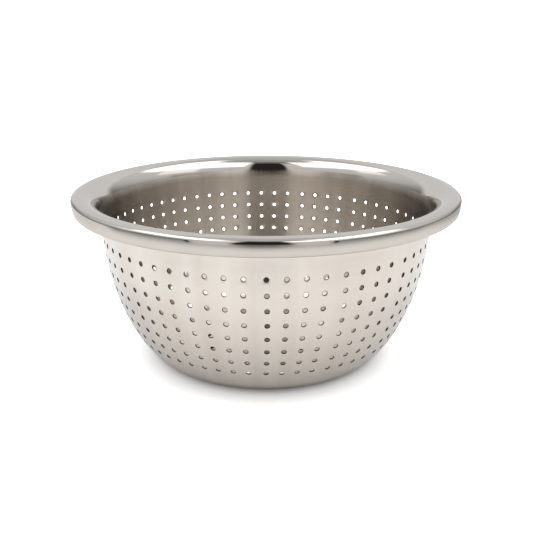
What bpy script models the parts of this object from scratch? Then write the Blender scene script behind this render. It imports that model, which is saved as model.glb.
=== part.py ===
# A colander bowl pressed from one sheet of stainless steel. The wall rises from a flat
# base ring in three arcs, carries eight rows of round holes punched in groups, and
# sweeps outward into a wide rim whose edge is turned down and hemmed. A raised panel in
# the base has the drain holes. The sheet is divided into zones where its form changes.
# Metres, +Z up. The origin is the middle of the base, on the surface it stands on.

import math

import bmesh
import bpy
from mathutils import Matrix

# The sheet, and the line left between two zones of it
SHEET = 0.0007
ZONE_GAP = 0.0003

# The base: a flat ring to stand on, and a raised panel inside it
BASE_RADIUS = 0.0626
BASE_RING_WIDTH = 0.0095
PANEL_LIFT = 0.0015
PANEL_STEP_TURN = 60.0
PANEL_MARGIN = 0.0030

# The wall's outer face, from the base up. The last arc ends upright, below the collar
HEEL_RADIUS = 0.0202
HEEL_TURN = 52.5
LOWER_WALL_RADIUS = 0.0980
LOWER_WALL_TURN = 15.0
UPPER_WALL_RADIUS = 0.1494
COLLAR_HEIGHT = 0.0049

# The rim, measured on the underside of the sheet
THROAT_RADIUS = 0.0140
RIM_CORNER_RADIUS = 0.0026
SKIRT_LENGTH = 0.0048
SKIRT_LEAN = 6.3
HEM_RADIUS = 0.0006
HEM_TURN = 180.0
HEM_LEG = 0.0010

# The wall's holes. The rows are spaced along the wall, and a group is one punch stroke
HOLE_DIAMETER = 0.0030
ROWS = 8
UPPER_ROWS = 4
ROW_PITCH = 0.0091
TOP_ROW_DROP = 0.0073
GROUPS = 15
GROUP_COLUMNS = 4
COLUMN_STEP = 5.65
FIRST_GROUP_AZIMUTH = 10.1

# The drain holes, in rings round one in the middle. Each ring has this many more holes
# than the last, and the panel is plain outside the middles of the outer ring's holes
DRAIN_HOLE_DIAMETER = 0.0030
DRAIN_RINGS = 4
DRAIN_RING_GAIN = 6
DRAIN_BORDER = 0.0083

# How finely round shapes are divided
HOLE_SIDES = 6
STEP_STEPS = 1
HEEL_STEPS = 4
WALL_STEPS = 3
THROAT_STEPS = 5
RIM_CORNER_STEPS = 3
HEM_STEPS = 2
SHARP_ANGLE = 40.0

POLISHED = ("polished_steel", (0.80, 0.79, 0.78), 0.12)
SATIN = ("satin_steel", (0.78, 0.76, 0.74), 0.30)


def arc(radius, turn, steps):
    """Stretch of the path that turns, left being plus: length, turn and divisions."""
    return (radius * abs(math.radians(turn)), math.radians(turn), steps)


def straight(length):
    return (length, 0.0, 1)


# The path along the sheet's outer face, from the drain panel's edge, under the base
# ring, up the wall and over the rim
STEP_RADIUS = PANEL_LIFT / (2.0 * (1.0 - math.cos(math.radians(PANEL_STEP_TURN))))
PATH = {
    "panel_lip": straight(PANEL_MARGIN),
    "step_down": arc(STEP_RADIUS, -PANEL_STEP_TURN, STEP_STEPS),
    "step_out": arc(STEP_RADIUS, PANEL_STEP_TURN, STEP_STEPS),
    "base_ring": straight(BASE_RING_WIDTH),
    "heel": arc(HEEL_RADIUS, HEEL_TURN, HEEL_STEPS),
    "lower_wall": arc(LOWER_WALL_RADIUS, LOWER_WALL_TURN, WALL_STEPS),
    "upper_wall": arc(UPPER_WALL_RADIUS, 90.0 - HEEL_TURN - LOWER_WALL_TURN, WALL_STEPS),
    "collar": straight(COLLAR_HEIGHT),
    "throat": arc(THROAT_RADIUS, -90.0, THROAT_STEPS),
    "rim_corner": arc(RIM_CORNER_RADIUS, -90.0 - SKIRT_LEAN, RIM_CORNER_STEPS),
    "skirt": straight(SKIRT_LENGTH),
    "hem": arc(HEM_RADIUS, -HEM_TURN, HEM_STEPS),
    "hem_leg": straight(HEM_LEG),
}
STEP_RUN = 2.0 * STEP_RADIUS * math.sin(math.radians(PANEL_STEP_TURN))
PANEL_EDGE_RADIUS = BASE_RADIUS - BASE_RING_WIDTH - STEP_RUN - PANEL_MARGIN
PANEL_MIDDLE = PANEL_LIFT + SHEET / 2.0
CUTTER_DEPTH = 8.0 * SHEET


def path_end(name):
    """Distance along the path at which the named stretch ends."""
    distance = 0.0
    for stretch, (length, turn, steps) in PATH.items():
        distance += length
        if stretch == name:
            break
    return distance


def point_on_path(distance):
    """Radius, height and heading of the path at a distance from its start."""
    radius, height, heading = PANEL_EDGE_RADIUS, PANEL_LIFT, 0.0
    left = distance
    for length, turn, steps in PATH.values():
        run = min(left, length)
        bend = turn * run / length
        chord = run * math.sin(bend / 2.0) / (bend / 2.0) if bend else run
        radius += chord * math.cos(heading + bend / 2.0)
        height += chord * math.sin(heading + bend / 2.0)
        heading += bend
        left -= run
        if left <= 0.0:
            break
    return radius, height, heading


def formed_zone(start, end):
    """Distances from start to end, with every division of the path that lies between."""
    inside = []
    begin = 0.0
    for length, turn, steps in PATH.values():
        inside += [begin + length * (i + 1) / steps for i in range(steps)]
        begin += length
    return [start] + [d for d in inside if start + ZONE_GAP < d < end - ZONE_GAP] + [end]


def punched_zone(start, rows):
    """Distances up from start that give each row of holes one flat band of its own."""
    return [start + ROW_PITCH * i for i in range(rows + 1)]


def row_distance(row):
    """Where a row of holes lies on the path; row 0 is the top one."""
    return path_end("upper_wall") - TOP_ROW_DROP - row * ROW_PITCH


def material(name, colour, roughness):
    made = bpy.data.materials.get(name)
    if made:
        return made
    made = bpy.data.materials.new(name)
    made.use_nodes = True
    shader = made.node_tree.nodes["Principled BSDF"]
    shader.inputs["Base Color"].default_value = (*colour, 1.0)
    shader.inputs["Metallic"].default_value = 1.0
    shader.inputs["Roughness"].default_value = roughness
    return made


def add_object(name, mesh, collection, finish=None):
    made = bpy.data.objects.new(name, mesh)
    collection.objects.link(made)
    if finish:
        mesh.materials.append(material(*finish))
    return made


def turned_zone(name, distances, collection, finish):
    """One zone of the sheet: its stretch of the path, turned about Z and thickened inward."""
    falling = sorted(distances, reverse=True)
    falling[0] -= ZONE_GAP / 2.0
    falling[-1] += ZONE_GAP / 2.0
    mesh = bpy.data.meshes.new(name)
    points = []
    for distance in falling:
        radius, height, heading = point_on_path(distance)
        points.append((radius, 0.0, height))
    mesh.from_pydata(points, [(i, i + 1) for i in range(len(points) - 1)], [])
    made = add_object(name, mesh, collection, finish)
    turn = made.modifiers.new("turn", "SCREW")
    turn.angle = math.tau
    turn.steps = GROUPS * GROUP_COLUMNS
    turn.render_steps = turn.steps
    turn.use_merge_vertices = True
    turn.merge_threshold = 0.00001
    turn.use_smooth_shade = True
    wall = made.modifiers.new("thickness", "SOLIDIFY")
    wall.thickness = SHEET
    wall.offset = -1.0
    wall.use_even_offset = True
    made.modifiers.new("shading", "WEIGHTED_NORMAL")
    return made


def add_disc(mesh, segments, diameter, thickness, place):
    """A round solid in a bmesh, its middle and axis set by a matrix."""
    bmesh.ops.create_cone(
        mesh,
        cap_ends=True,
        segments=segments,
        radius1=diameter / 2.0,
        radius2=diameter / 2.0,
        depth=thickness,
        matrix=place,
    )


def cut_with(target, mesh, collection):
    """Cuts the shapes in a bmesh out of an object."""
    data = bpy.data.meshes.new(target.name + "_holes")
    mesh.to_mesh(data)
    mesh.free()
    cutter = add_object(target.name + "_cutter", data, collection)
    cutter.hide_render = True
    cutter.display_type = "WIRE"
    holes = target.modifiers.new("holes", "BOOLEAN")
    holes.operation = "DIFFERENCE"
    holes.solver = "EXACT"
    holes.object = cutter
    return cutter


def wall_cutter(rows):
    """Cutters for some rows of the wall, with the middle of the first group at +X."""
    mesh = bmesh.new()
    for row in rows:
        radius, height, heading = point_on_path(row_distance(row))
        through_sheet = Matrix.Translation((radius, 0.0, height)) @ Matrix.Rotation(
            math.pi - heading, 4, "Y"
        )
        for group in range(GROUPS):
            for column in range(GROUP_COLUMNS):
                offset = (column - (GROUP_COLUMNS - 1) / 2.0) * COLUMN_STEP
                swing = Matrix.Rotation(math.radians(360.0 * group / GROUPS + offset), 4, "Z")
                add_disc(mesh, HOLE_SIDES, HOLE_DIAMETER, CUTTER_DEPTH, swing @ through_sheet)
    return mesh


def drain_cutter():
    mesh = bmesh.new()
    ring_pitch = (PANEL_EDGE_RADIUS - DRAIN_BORDER) / DRAIN_RINGS
    for ring in range(DRAIN_RINGS + 1):
        holes = max(1, ring * DRAIN_RING_GAIN)
        for hole in range(holes):
            swing = Matrix.Rotation(math.tau * hole / holes, 4, "Z")
            place = swing @ Matrix.Translation((ring * ring_pitch, 0.0, PANEL_MIDDLE))
            add_disc(mesh, HOLE_SIDES, DRAIN_HOLE_DIAMETER, CUTTER_DEPTH, place)
    return mesh


def drain_panel(collection):
    """The flat disc inside the base ring's lip."""
    mesh = bmesh.new()
    diameter = 2.0 * PANEL_EDGE_RADIUS - ZONE_GAP
    place = Matrix.Translation((0.0, 0.0, PANEL_MIDDLE))
    add_disc(mesh, GROUPS * GROUP_COLUMNS, diameter, SHEET, place)
    data = bpy.data.meshes.new("drain_panel")
    mesh.to_mesh(data)
    mesh.free()
    data.shade_smooth()
    data.set_sharp_from_angle(angle=math.radians(SHARP_ANGLE))
    return add_object("drain_panel", data, collection, SATIN)


def main():
    for old in list(bpy.data.objects):
        bpy.data.objects.remove(old, do_unlink=True)

    parts = bpy.data.collections.new("colander_bowl")
    cutters = bpy.data.collections.new("cutters")
    for collection in (parts, cutters):
        bpy.context.scene.collection.children.link(collection)

    # Lines that bound the punched zones lie midway between rows, clear of the holes
    rim_line = path_end("collar")
    top_line = row_distance(0) + ROW_PITCH / 2.0
    middle_line = row_distance(UPPER_ROWS) + ROW_PITCH / 2.0
    bottom_line = row_distance(ROWS) + ROW_PITCH / 2.0
    foot_line = path_end("base_ring")

    rim_zone = formed_zone(rim_line, path_end("hem_leg"))
    upper_zone = punched_zone(middle_line, UPPER_ROWS)
    lower_zone = punched_zone(bottom_line, ROWS - UPPER_ROWS)
    rim = turned_zone("rolled_rim", rim_zone, parts, POLISHED)
    collar = turned_zone("collar", formed_zone(top_line, rim_line), parts, POLISHED)
    upper = turned_zone("upper_wall", upper_zone, parts, SATIN)
    lower = turned_zone("lower_wall", lower_zone, parts, SATIN)
    heel = turned_zone("heel", formed_zone(foot_line, bottom_line), parts, SATIN)
    foot = turned_zone("base_ring", formed_zone(0.0, foot_line), parts, SATIN)
    panel = drain_panel(parts)

    cutters_made = [
        cut_with(upper, wall_cutter(range(UPPER_ROWS)), cutters),
        cut_with(lower, wall_cutter(range(UPPER_ROWS, ROWS)), cutters),
        cut_with(panel, drain_cutter(), cutters),
    ]

    # Azimuths are measured from the front, which is -Y, towards +X
    axis = bpy.data.objects.new("bowl_axis", None)
    parts.objects.link(axis)
    axis.rotation_euler.z = math.radians(FIRST_GROUP_AZIMUTH - 90.0)
    for piece in [rim, collar, upper, lower, heel, foot, panel] + cutters_made:
        piece.parent = axis


main()
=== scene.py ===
# A colander bowl of polished and satin steel, photographed on a white table under two softboxes.
import math

import bpy
from mathutils import Matrix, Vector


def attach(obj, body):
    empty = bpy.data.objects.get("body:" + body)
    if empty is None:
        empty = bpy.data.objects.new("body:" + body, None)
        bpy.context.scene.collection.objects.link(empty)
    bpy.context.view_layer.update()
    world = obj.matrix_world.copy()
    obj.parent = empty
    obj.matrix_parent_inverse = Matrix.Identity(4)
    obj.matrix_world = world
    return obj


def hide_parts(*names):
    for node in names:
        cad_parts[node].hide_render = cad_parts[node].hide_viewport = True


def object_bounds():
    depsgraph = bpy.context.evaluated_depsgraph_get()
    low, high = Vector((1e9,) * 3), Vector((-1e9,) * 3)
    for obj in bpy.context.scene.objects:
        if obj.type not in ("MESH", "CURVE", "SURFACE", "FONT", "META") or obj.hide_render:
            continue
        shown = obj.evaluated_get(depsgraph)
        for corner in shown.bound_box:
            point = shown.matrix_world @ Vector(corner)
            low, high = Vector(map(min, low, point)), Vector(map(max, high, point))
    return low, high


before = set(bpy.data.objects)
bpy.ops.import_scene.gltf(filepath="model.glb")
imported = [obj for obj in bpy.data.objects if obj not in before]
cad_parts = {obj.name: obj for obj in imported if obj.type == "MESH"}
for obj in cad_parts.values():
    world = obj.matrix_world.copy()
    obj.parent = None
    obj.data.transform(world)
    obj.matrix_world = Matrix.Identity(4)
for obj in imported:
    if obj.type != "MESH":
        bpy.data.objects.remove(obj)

lowCad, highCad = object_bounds()
print("frame loaded:", ", ".join(sorted(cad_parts)))

# The section of the sheet, from the middle of the base out and up to the folded edge of the rim.
# Each stretch has a length, a turn to the left in radians, and the number of steps it is drawn in.

def straight(length, steps):
    return length, 0, steps


def bend(radius, degrees, steps):
    return radius * abs(math.radians(degrees)), math.radians(degrees), steps


sheet = {
    "thickness": 0.0007,
    "sides": 240,             # divisions round the bowl
    "panelLift": 0.0015,      # how far the drain panel stands above the ring that the bowl rests on
    "middleRadius": 0.0004,   # of the small face that closes the middle of the panel
    "endStep": 0.0002,        # first and last step of a zone, short so that its shading runs on
    "smoothUnder": 30,        # degrees, up to which a bend is shaded smooth
    "section": {
        "panel": straight(0.0505, 12),
        "stepDown": bend(0.0015, -60, 4),
        "stepOut": bend(0.0015, 60, 4),
        "ring": straight(0.0095, 3),
        "heel": bend(0.0202, 52.5, 16),
        "lowerWall": bend(0.0980, 15.0, 12),
        "upperWall": bend(0.1494, 22.5, 24),
        "collar": straight(0.00439, 2),
        "throatFoot": bend(0.0169, -32.3, 12),
        "throat": bend(0.0115, -57.7, 22),
        "flange": bend(0.0075, -26.5, 10),
        "corner": bend(0.0013, -64.0, 18),
        "skirt": bend(0.0280, -12.0, 10),
        "hem": bend(0.0006, -175.5, 10),
        "hemLeg": straight(0.0010, 1),
    },
}
holes = {
    "radius": 0.00128,
    "sides": 20,
    "lipOut": 0.00036,        # how far out and how deep the punched edges are rounded over
    "lipDeep": 0.00016,
    "lipTurn": (0.35, 0.30),  # where the middle of that rounding lies, in shares of the two
    "rows": 8,
    "pitch": 0.0091,          # from row to row, along the wall
    "topDrop": 0.0073,        # from the collar down to the top row, along the wall
    "groups": 15,
    "columns": 4,
    "step": 5.58,             # degrees from column to column, in the middle rows
    "stepSpread": 0.20,       # how much that grows in the top and bottom rows
    "firstAzimuth": 9.9,      # the middle of the first group, from the front to the right
    "sinkRight": 0.27,        # degrees by which the rows sink to the right
    "sinkBack": 0.28,         # and to the back
    "offset": -0.0009,        # how far to the right of the bowl's axis the rows are centred
    # how far each stroke of the punch landed from its place, in degrees
    "drift": (-0.6, -0.9, -0.6, 0, 0.3, 0.6, 1.0, 0.8, 0.1, -0.55, -1.3, 0, 1.2, 0.4, -0.4),
    "drainRings": 4,
    "drainPitch": 0.00977,
    "drainPerRing": 6,
}


# distance along the section to where a stretch ends
def sectionEnd(name):
    section = sheet["section"]
    return sum(section[n][0] for n in list(section)[:list(section).index(name) + 1])


# radius, height and heading of the section's outer face, at a distance from its start
def sectionPoint(distance):
    radius, height, heading = 0, sheet["panelLift"], 0
    for length, turn, _ in sheet["section"].values():
        run = min(distance, length)
        swing = turn * run / length
        chord = run * math.sin(swing / 2) / (swing / 2) if swing else run
        radius += chord * math.cos(heading + swing / 2)
        height += chord * math.sin(heading + swing / 2)
        heading += swing
        distance -= run
        if distance <= 0:
            break
    return radius, height, heading


# the distances that a zone's ring is pulled to
def sectionStops(start, end):
    stops, begin, short = [], 0, sheet["endStep"]
    for length, _, steps in sheet["section"].values():
        stops += [begin + length * (i + 1) / steps for i in range(steps)]
        begin += length
    between = [stop for stop in stops if start + 2 * short < stop < end - 2 * short]
    return [start, start + short, *between, end - short, end]


def addRing(name, radius, height, sides):
    bpy.ops.object.select_all(action="DESELECT")
    bpy.ops.mesh.primitive_circle_add(vertices=sides, radius=radius, location=(0, 0, height))
    piece = bpy.context.object
    piece.name = piece.data.name = name
    bpy.ops.object.transform_apply(location=True, rotation=True, scale=True)
    bpy.ops.object.mode_set(mode="EDIT")
    bpy.ops.mesh.select_all(action="SELECT")
    return piece


def pullRing(grow, rise):
    bpy.ops.mesh.extrude_region_move(TRANSFORM_OT_translate={"value": (0, 0, rise)})
    bpy.ops.transform.resize(value=(grow, grow, 1), center_override=(0, 0, 0))


def applyModifier(piece, kind, **settings):
    modifier = piece.modifiers.new(kind.lower(), kind)
    for key, value in settings.items():
        setattr(modifier, key, value)
    bpy.context.view_layer.objects.active = piece
    bpy.ops.object.modifier_apply(modifier=modifier.name)


# A zone of the sheet: a ring pulled along the section, then given its thickness. Its materials are
# for the underside or outside, then for the top or inside, then for the cut edges.
def formZone(name, start, end, *materials):
    stops = sectionStops(max(start, sheet["middleRadius"]), end)
    radius, height = sectionPoint(stops[0])[:2]
    piece = addRing(name, radius, height, sheet["sides"])
    if start == 0:
        bpy.ops.mesh.edge_face_add()          # the middle face, and a lid that rides on the ring
    for stop in stops[1:]:
        nextRadius, nextHeight = sectionPoint(stop)[:2]
        pullRing(nextRadius / radius, nextHeight - height)
        radius, height = nextRadius, nextHeight
    if start == 0:
        bpy.ops.mesh.delete(type="ONLY_FACE")         # the lid
    bpy.ops.mesh.select_all(action="SELECT")
    if start > 0:
        bpy.ops.mesh.flip_normals()           # a ring with no face in it is pulled out inside out
    bpy.ops.object.mode_set(mode="OBJECT")
    for material in materials:
        piece.data.materials.append(material)
    applyModifier(piece, "SOLIDIFY", thickness=sheet["thickness"], offset=-1,
                  use_even_offset=True, material_offset=1)
    return piece


# what one stroke of the punch takes out, with the edges of the hole rounded over
def makePunch(materials):
    half, wide, deep = sheet["thickness"] / 2, holes["lipOut"], holes["lipDeep"]
    turnOut, turnDeep = holes["lipTurn"]
    # from clear of the sheet down over the lip into the bore, and out again on the other side
    outline = [(2 * wide, -half - deep), (wide, -half),
               (turnOut * wide, turnDeep * deep - half), (0, deep - half)]
    outline += [(out, -up) for out, up in reversed(outline)]
    radius, height = holes["radius"] + outline[0][0], outline[0][1]
    punch = addRing("punch", radius, height, holes["sides"])
    bpy.ops.mesh.edge_face_add()
    for out, up in outline[1:]:
        pullRing((holes["radius"] + out) / radius, up - height)
        radius, height = holes["radius"] + out, up
    bpy.ops.mesh.select_all(action="SELECT")
    bpy.ops.mesh.normals_make_consistent(inside=False)
    bpy.ops.object.mode_set(mode="OBJECT")
    for material in materials:
        punch.data.materials.append(material)
    # every face of the punch, bore and rounded lip, takes the last material: the near-black painted
    # shade of the cut edges
    for face in punch.data.polygons:
        face.material_index = len(materials) - 1
    return punch


# a place round the bowl, its azimuth counted from the front to the right
def placeRound(azimuth, radius, height):
    return Matrix.Rotation(azimuth - math.pi / 2, 4, "Z") @ Matrix.Translation((radius, 0, height))


# where the punch strikes the wall: rows of holes in groups of columns
def wallStrokes():
    middleRow, middleColumn = (holes["rows"] - 1) / 2, (holes["columns"] - 1) / 2
    sinkRight, sinkBack = math.radians(holes["sinkRight"]), math.radians(holes["sinkBack"])
    for row in range(holes["rows"]):
        distance = sectionEnd("upperWall") - holes["topDrop"] - row * holes["pitch"]
        rowRadius = sectionPoint(distance)[0]
        step = holes["step"] + holes["stepSpread"] * ((row - middleRow) / middleRow) ** 2
        for group, drift in enumerate(holes["drift"]):
            middle = holes["firstAzimuth"] + 360 * group / holes["groups"] + drift
            for column in range(holes["columns"]):
                azimuth = math.radians(middle + (column - middleColumn) * step)
                azimuth += holes["offset"] / rowRadius * math.cos(azimuth)
                sink = sinkBack * math.cos(azimuth) - sinkRight * math.sin(azimuth)
                radius, height, heading = sectionPoint(distance + rowRadius * sink)
                radius -= sheet["thickness"] / 2 * math.sin(heading)
                height += sheet["thickness"] / 2 * math.cos(heading)
                yield (placeRound(azimuth, radius, height)
                       @ Matrix.Rotation(math.pi - heading, 4, "Y"))


# where the punch strikes the panel in the base: rings of holes
def drainStrokes():
    height = sheet["panelLift"] + sheet["thickness"] / 2
    for ring in range(holes["drainRings"] + 1):
        count = max(1, ring * holes["drainPerRing"])
        for i in range(count):
            azimuth = math.radians(holes["firstAzimuth"]) + 2 * math.pi * i / count
            yield placeRound(azimuth, ring * holes["drainPitch"], height)


def punchHoles(piece, strokes):
    punch = makePunch(piece.data.materials)
    bpy.ops.object.select_all(action="DESELECT")
    for place in strokes:
        stroke = punch.copy()
        stroke.data = punch.data.copy()
        stroke.matrix_world = place
        bpy.context.collection.objects.link(stroke)
        stroke.select_set(True)
    bpy.context.view_layer.objects.active = stroke
    bpy.ops.object.join()
    applyModifier(piece, "BOOLEAN", operation="DIFFERENCE", solver="MANIFOLD", object=stroke)
    bpy.data.objects.remove(stroke)
    bpy.data.objects.remove(punch)


def finishPiece(piece, slot, *nodes):
    bpy.ops.object.select_all(action="DESELECT")
    piece.select_set(True)
    bpy.context.view_layer.objects.active = piece
    bpy.ops.object.shade_smooth_by_angle(angle=math.radians(sheet["smoothUnder"]))
    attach(piece, "root")
    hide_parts(*nodes)
    print(piece.name, "made,", sum(len(p.vertices) - 2 for p in piece.data.polygons), "triangles")


# The finishes of the sheet. It was turned against a wheel, so its fine lines run round the bowl.

satinFinish = {
    "colour": (0.75, 0.70, 0.64),
    "wornColour": (0.70, 0.645, 0.58),
    "edgeTint": (0.88, 0.89, 0.91),       # how much the finish sends back at a glancing angle
    "roughness": (0.17, 0.24),
    "anisotropy": 0.6,
    "linesAcross": 1900,      # turned lines to a metre
    "linesRound": 3.0,        # how often a line breaks off on its way round
    "lineDepth": 0.000004,
    "waveDepth": 0.00003,     # slow unevenness that the press left
    "lean": 3.6,              # how fast the shading leans out under the rim
    "leanFrom": 0.076,        # the height where that begins, and over how much height it grows
    "leanOver": 0.020,
}
insideFinish = {
    **satinFinish,
    "colour": (0.65, 0.595, 0.53),
    "wornColour": (0.54, 0.485, 0.425),
    # the glancing tint is kept dark: painted shade, so that the inside wall seen at a glancing
    # angle, also through the holes, looks dark
    "edgeTint": (0.28, 0.26, 0.24),
    "roughness": (0.26, 0.34),
    "anisotropy": 0.85,
    "lean": 0,
}
bottomFinish = {
    **satinFinish,
    "colour": (0.62, 0.605, 0.585),
    "wornColour": (0.57, 0.555, 0.535),
    "roughness": (0.16, 0.24),
    "lean": 0,
}
# near-black painted shade on the bores and rounded lips of the holes, standing in for the dark
# inside of the small holes
cutPaintedShadeFinish = {
    **satinFinish,
    "colour": (0.030, 0.027, 0.024),
    "wornColour": (0.018, 0.016, 0.014),
    "edgeTint": (0.08, 0.08, 0.08),
    "roughness": (0.30, 0.42),
    "anisotropy": 0,
    "lean": 0,
}
polishedFinish = {
    **satinFinish,
    "colour": (0.59, 0.55, 0.505),
    "wornColour": (0.57, 0.53, 0.48),
    "edgeTint": (0.81, 0.80, 0.80),
    "roughness": (0.03, 0.08),
    "anisotropy": 0.85,
    "linesAcross": 2600,
    "linesRound": 2.0,
    "lineDepth": 0.0000005,
    "waveDepth": 0.00005,
    "lean": 0,
}
# the patterns that all the finishes share
grain = {
    "lines": {"Scale": 1, "Detail": 3, "Roughness": 0.6},
    "clouds": {"Scale": 26, "Detail": 4, "Roughness": 0.55},
    "waves": {"Scale": 45, "Detail": 1},
    "bands": {"Scale": 1, "Detail": 2},
    "bandsAcross": 4,         # broad bands to a metre, and how often one breaks off
    "bandsRound": 7,
    "axisRadius": 0.001,      # a smaller radius counts as this, so that nothing is divided by 0
    "dullByLines": 0.5,       # how much of the roughness follows the lines, the rest the clouds
    "dullRange": (0.35, 0.65),
    "wearByBands": 0.65,      # how much of the wear follows the bands, the rest the clouds
    "wearRange": (0.38, 0.62),
    "spreadTurn": 0.25,       # a quarter turn, so that reflections spread across the lines
}
# heights between which one finish gives way to another
polishFade = (0.0993, 0.0958)
heelFade = (0.045, 0.028)
bottomFade = (0.0038, 0.0020)


# an input is set, or linked where its value comes from another node
def setInputs(tree, node, inputs):
    for socket, value in inputs.items():
        if isinstance(value, bpy.types.NodeSocket):
            tree.links.new(value, node.inputs[socket])
        else:
            node.inputs[socket].default_value = value


def addNode(tree, kind, inputs={}, **settings):
    node = tree.nodes.new(kind)
    for key, value in settings.items():
        setattr(node, key, value)
    setInputs(tree, node, inputs)
    return node


def addMath(tree, operation, *terms):
    inputs = dict(enumerate(terms))
    return addNode(tree, "ShaderNodeMath", inputs, operation=operation).outputs["Value"]


def addNoise(tree, pattern, place):
    return addNode(tree, "ShaderNodeTexNoise", {**pattern, "Vector": place}).outputs["Fac"]


def addRange(tree, value, before, after=(0, 1), curve="LINEAR"):
    inputs = {"Value": value, "From Min": before[0], "From Max": before[1],
              "To Min": after[0], "To Max": after[1]}
    return addNode(tree, "ShaderNodeMapRange", inputs, interpolation_type=curve).outputs["Result"]


def addMix(tree, share, first, second, kind="RGBA"):
    inputs = {"Factor": share, "A": first, "B": second}
    return addNode(tree, "ShaderNodeMix", inputs, data_type=kind).outputs["Result"]


def addBump(tree, depth, **inputs):
    inputs = {"Strength": 1, "Distance": depth, **inputs}
    return addNode(tree, "ShaderNodeBump", inputs).outputs["Normal"]


# two patterns added up, with a share for the first and the rest for the second
def addPatterns(tree, first, second, share):
    return addMath(tree, "MULTIPLY_ADD", first, share, addMath(tree, "MULTIPLY", second, 1 - share))


# coordinates drawn out round the bowl, so that a noise read with them gives turned lines
def turnedCoordinates(tree, place, across, around):
    x, y, z = addNode(tree, "ShaderNodeSeparateXYZ", {0: place}).outputs
    square = addMath(tree, "MULTIPLY_ADD", x, x, addMath(tree, "MULTIPLY", y, y))
    radius = addMath(tree, "MAXIMUM", addMath(tree, "SQRT", square), grain["axisRadius"])
    lines = {
        "X": addMath(tree, "MULTIPLY", addMath(tree, "DIVIDE", x, radius), around),
        "Y": addMath(tree, "MULTIPLY", addMath(tree, "DIVIDE", y, radius), around),
        "Z": addMath(tree, "MULTIPLY", addMath(tree, "SUBTRACT", radius, z), across),
    }
    return addNode(tree, "ShaderNodeCombineXYZ", lines).outputs["Vector"]


def newMaterial(name):
    made = bpy.data.materials.new(name)
    made.use_nodes = True
    return made, made.node_tree, made.node_tree.nodes["Principled BSDF"]


# steel of one finish, or of a finish that gives way to another as the height goes over a fade
def steel(name, finish, other=None, fade=None):
    made, tree, shader = newMaterial(name)
    place = addNode(tree, "ShaderNodeTexCoord").outputs["Object"]
    height = addNode(tree, "ShaderNodeSeparateXYZ", {0: place}).outputs["Z"]
    turned = turnedCoordinates(tree, place, finish["linesAcross"], finish["linesRound"])
    broad = turnedCoordinates(tree, place, grain["bandsAcross"], grain["bandsRound"])
    lines = addNoise(tree, grain["lines"], turned)
    bands = addNoise(tree, grain["bands"], broad)
    clouds = addNoise(tree, grain["clouds"], place)
    waves = addNoise(tree, grain["waves"], place)
    dullness = addPatterns(tree, lines, clouds, grain["dullByLines"])
    wear = addPatterns(tree, bands, clouds, grain["wearByBands"])
    wear = addRange(tree, wear, grain["wearRange"])

    def dress(look):
        return (addRange(tree, dullness, grain["dullRange"], look["roughness"]),
                addMix(tree, wear, (*look["colour"], 1), (*look["wornColour"], 1)))

    roughness, colour = dress(finish)
    if other:
        share = addRange(tree, height, fade, curve="SMOOTHSTEP")
        otherRoughness, otherColour = dress(other)
        roughness = addMix(tree, share, roughness, otherRoughness, "FLOAT")
        colour = addMix(tree, share, colour, otherColour)

    surface = addBump(tree, finish["waveDepth"], Height=waves)
    if finish["lean"]:
        above = addMath(tree, "SUBTRACT", height, finish["leanFrom"])
        clamp = {"Value": above, "Max": finish["leanOver"]}
        above = addNode(tree, "ShaderNodeClamp", clamp).outputs["Result"]
        rise = addMath(tree, "MULTIPLY", addMath(tree, "MULTIPLY", above, above), finish["lean"])
        surface = addBump(tree, 1, Height=rise, Normal=surface)
    surface = addBump(tree, finish["lineDepth"], Height=lines, Normal=surface)
    tangent = addNode(tree, "ShaderNodeTangent", direction_type="RADIAL", axis="Z")
    setInputs(tree, shader, {
        "Metallic": 1,
        "Specular Tint": (*finish["edgeTint"], 1),
        "Anisotropic": finish["anisotropy"],
        "Anisotropic Rotation": grain["spreadTurn"],
        "Roughness": roughness,
        "Base Color": colour,
        "Normal": surface,
        "Tangent": tangent.outputs["Tangent"],
    })
    return made


satinSteel = steel("satin_outside", satinFinish)
insideSteel = steel("satin_inside", insideFinish, satinFinish, heelFade)
bottomSteel = steel("satin_heel_dull_bottom", satinFinish, bottomFinish, bottomFade)
cutPaintedShadeSteel = steel("punched_edge_painted_shade", cutPaintedShadeFinish)
polishedSteel = steel("polished_rim", polishedFinish, insideFinish, polishFade)
print("finishes ready")

collarLine = sectionEnd("upperWall") - holes["topDrop"] + holes["pitch"] / 2
footLine = collarLine - holes["rows"] * holes["pitch"]

foot = formZone("base_with_heel", 0, footLine, satinSteel, bottomSteel, cutPaintedShadeSteel)
punchHoles(foot, drainStrokes())
finishPiece(foot, "satin_steel", "base_ring", "drain_panel", "heel")

wall = formZone("perforated_wall", footLine, collarLine, satinSteel, insideSteel, cutPaintedShadeSteel)
punchHoles(wall, wallStrokes())
finishPiece(wall, "satin_steel", "upper_wall", "lower_wall")

rim = formZone("polished_rim", collarLine, sectionEnd("hemLeg"), satinSteel, polishedSteel)
finishPiece(rim, "polished_steel", "rolled_rim", "collar")


# The camera stands where the photograph's did.

shot = {
    "place": (0.0003, -0.4305, 0.1982),
    "tiltDown": 18.64,
    "lens": 46.72,
    "sensor": 36,
    "seesFrom": 0.01,         # nothing nearer to the camera than this is seen
}


def makeCamera():
    bpy.ops.object.camera_add()
    camera = bpy.context.object
    camera.name = "camera"
    camera.data.lens = shot["lens"]
    camera.data.sensor_width = shot["sensor"]
    camera.data.clip_start = shot["seesFrom"]
    camera.location = shot["place"]
    camera.rotation_euler = (math.radians(90 - shot["tiltDown"]), 0, 0)
    bpy.context.scene.camera = camera


# The room stands at a distance, so it is laid out by direction: azimuth in degrees from the front
# to the right, and height in degrees above the horizon.

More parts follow.
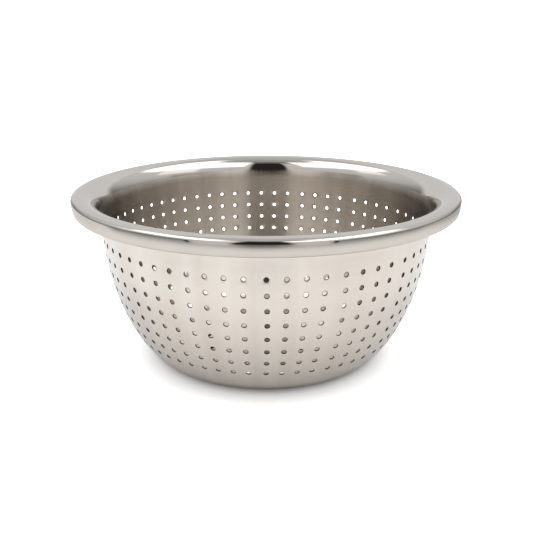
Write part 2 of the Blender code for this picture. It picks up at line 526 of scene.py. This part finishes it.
room = {
    # the light of the bare room by height
    "byHeight": (
        (-90, 1.1), (-36, 1.1), (-29, 0.70), (-22, 0.50), (-10, 0.44), (-2, 0.34), (8, 0.27),
        (13, 0.44), (20, 0.68), (30, 0.82), (45, 0.88), (70, 0.84), (80, 0.56), (90, 0.53),
    ),
    "tint": (0.98, 1.0, 1.03),
}
# Cards cover a part of the room each, the later ones in front of the earlier.
# In order: azimuth and height of the middle, width, height, softness of the edges, colour.
cards = {
    "shadeLeft": (-63, 12, 34, 28, 5, (0.30, 0.28, 0.27)),
    "shadeRight": (63, 12, 34, 28, 5, (0.34, 0.32, 0.30)),
    "backdropTop": (180, 60, 70, 36, 6, (0.70, 0.72, 0.76)),
    "backdrop": (180, 26, 62, 46, 6, (0.97, 0.99, 1.02)),
    "sweep": (180, -2, 50, 18, 4, (1.0, 1.0, 1.0)),
    "sweepLeft": (-138, -24, 82, 46, 6, (1.05, 1.05, 1.06)),
    "sweepRight": (138, -24, 82, 46, 6, (0.66, 0.66, 0.66)),
    "overhead": (0, 73, 70, 12, 5, (0.20, 0.19, 0.19)),
    "lampLeft": (-100, 43, 30, 14, 4, (1.5, 1.5, 1.5)),
    "lampRight": (80, 40, 38, 14, 4, (1.5, 1.5, 1.5)),
    "softboxLeft": (-90, 60.5, 112, 27, 3, (2.4, 2.4, 2.4)),
    "softboxRight": (84, 60, 128, 28, 3, (2.4, 2.4, 2.4)),
    "panelLeft": (-30, 12, 22, 66, 4, (0.84, 0.83, 0.82)),
    "panelRight": (26, 12, 20, 66, 4, (0.84, 0.83, 0.82)),
    "stripFoot": (-2, -22, 24, 18, 8, (0.25, 0.23, 0.22)),
    "standLeft": (-43, -3, 2.8, 30, 0.6, (0.03, 0.027, 0.024)),
    "standRight": (38, -3, 2.8, 30, 0.6, (0.03, 0.027, 0.024)),
    "strip": (-2, 26, 32, 84, 2.5, (0.032, 0.027, 0.024)),
}
table = {
    "size": (0.90, 1.80),
    "middle": (0, 0.40),
    "white": 0.85,
    "shadeSeen": 0.3,         # how much more of the bowl's shade the camera sees on it
    "liftSeen": 1.3,          # how much the camera's exposure lifts it
    "liftMirrored": 0.20,     # the same in what the metal mirrors
    "liftReach": 0.045,       # the lift dies away this close to the bowl
    "liftSamples": 8,
    # for all but the camera it fades into the room between these distances, in an oval
    "mirroredReach": (0.24, 0.42),
    "mirroredShape": (0.85, 1, 1),
}


# how much of a direction a card covers: 1 inside it, 0 outside, soft at its edges
def cardCover(tree, azimuth, height, card):
    cardAzimuth, cardHeight, wide, tall, soft, _ = card
    turn = addMath(tree, "WRAP", addMath(tree, "SUBTRACT", azimuth, cardAzimuth), 180, -180)
    climb = addMath(tree, "SUBTRACT", height, cardHeight)
    inside = [addRange(tree, addMath(tree, "ABSOLUTE", apart), (size / 2 + soft, size / 2 - soft),
                       curve="SMOOTHSTEP")
              for apart, size in ((turn, wide), (climb, tall))]
    return addMath(tree, "MULTIPLY", *inside)


# 1 for what the camera sees, also through something clear
def seenByCamera(tree, path):
    return addMath(tree, "MAXIMUM", path["Is Camera Ray"], path["Is Transmission Ray"])


def makeRoom():
    world = bpy.data.worlds.new("room")
    bpy.context.scene.world = world
    world.use_nodes = True
    tree = world.node_tree
    view = addNode(tree, "ShaderNodeTexCoord").outputs["Generated"]
    x, y, z = addNode(tree, "ShaderNodeSeparateXYZ", {0: view}).outputs
    front = addMath(tree, "MULTIPLY", y, -1)
    azimuth = addMath(tree, "DEGREES", addMath(tree, "ARCTAN2", x, front))
    height = addMath(tree, "DEGREES", addMath(tree, "ARCSINE", z))
    ramp = addNode(tree, "ShaderNodeValToRGB", {0: addRange(tree, height, (-90, 90))})
    stops = ramp.color_ramp.elements
    while len(stops) < len(room["byHeight"]):
        stops.new(0.5)
    # all the stops are placed before any is coloured
    for stop, (degrees, _) in zip(stops, room["byHeight"]):
        stop.position = (degrees + 90) / 180
    for stop, (_, grey) in zip(stops, room["byHeight"]):
        stop.color = (*(grey * tint for tint in room["tint"]), 1)
    colour = ramp.outputs["Color"]
    for card in cards.values():
        cover = cardCover(tree, azimuth, height, card)
        colour = addMix(tree, cover, colour, (*card[-1], 1))
    # the camera sees the white sweep all round
    white = seenByCamera(tree, addNode(tree, "ShaderNodeLightPath").outputs)
    colour = addMix(tree, white, colour, (1, 1, 1, 1))
    setInputs(tree, tree.nodes["Background"], {"Color": colour})


def makeTable():
    bpy.ops.object.select_all(action="DESELECT")
    bpy.ops.mesh.primitive_plane_add(size=1, location=(*table["middle"], lowCad.z))
    tableTop = bpy.context.object
    tableTop.name = "table"
    tableTop.scale = (*table["size"], 1)
    bpy.ops.object.transform_apply(location=True, rotation=True, scale=True)

    made, tree, shader = newMaterial("white_table")
    path = addNode(tree, "ShaderNodeLightPath").outputs
    openness = addNode(tree, "ShaderNodeAmbientOcclusion", {"Distance": table["liftReach"]},
                       samples=table["liftSamples"]).outputs["AO"]
    extra = addMath(tree, "MULTIPLY", path["Is Camera Ray"], table["shadeSeen"])
    shade = addMath(tree, "POWER", openness, extra)
    white = addMath(tree, "MULTIPLY", shade, table["white"])
    white = addNode(tree, "ShaderNodeCombineXYZ", {0: white, 1: white, 2: white})
    lift = addMath(tree, "MULTIPLY", seenByCamera(tree, path), table["liftSeen"])
    lift = addMath(tree, "MULTIPLY_ADD", path["Is Glossy Ray"], table["liftMirrored"], lift)
    setInputs(tree, shader, {
        "Roughness": 1,
        "Specular IOR Level": 0,
        "Base Color": white.outputs["Vector"],
        "Emission Color": (1, 1, 1, 1),
        "Emission Strength": addMath(tree, "MULTIPLY", lift, openness),
    })

    place = addNode(tree, "ShaderNodeTexCoord").outputs["Object"]
    place = addNode(tree, "ShaderNodeVectorMath", {0: place, 1: table["mirroredShape"]},
                    operation="MULTIPLY").outputs["Vector"]
    away = addNode(tree, "ShaderNodeVectorMath", {0: place}, operation="LENGTH").outputs["Value"]
    fade = addRange(tree, away, table["mirroredReach"], curve="SMOOTHSTEP")
    unseen = addMath(tree, "SUBTRACT", 1, path["Is Camera Ray"])
    clear = addNode(tree, "ShaderNodeBsdfTransparent").outputs["BSDF"]
    mix = addNode(tree, "ShaderNodeMixShader", {0: addMath(tree, "MULTIPLY", fade, unseen),
                                                1: shader.outputs["BSDF"], 2: clear})
    setInputs(tree, tree.nodes["Material Output"], {"Surface": mix.outputs["Shader"]})
    tableTop.data.materials.append(made)


makeCamera()
makeRoom()
makeTable()
bpy.context.scene.view_settings.view_transform = "Standard"
print("studio ready")
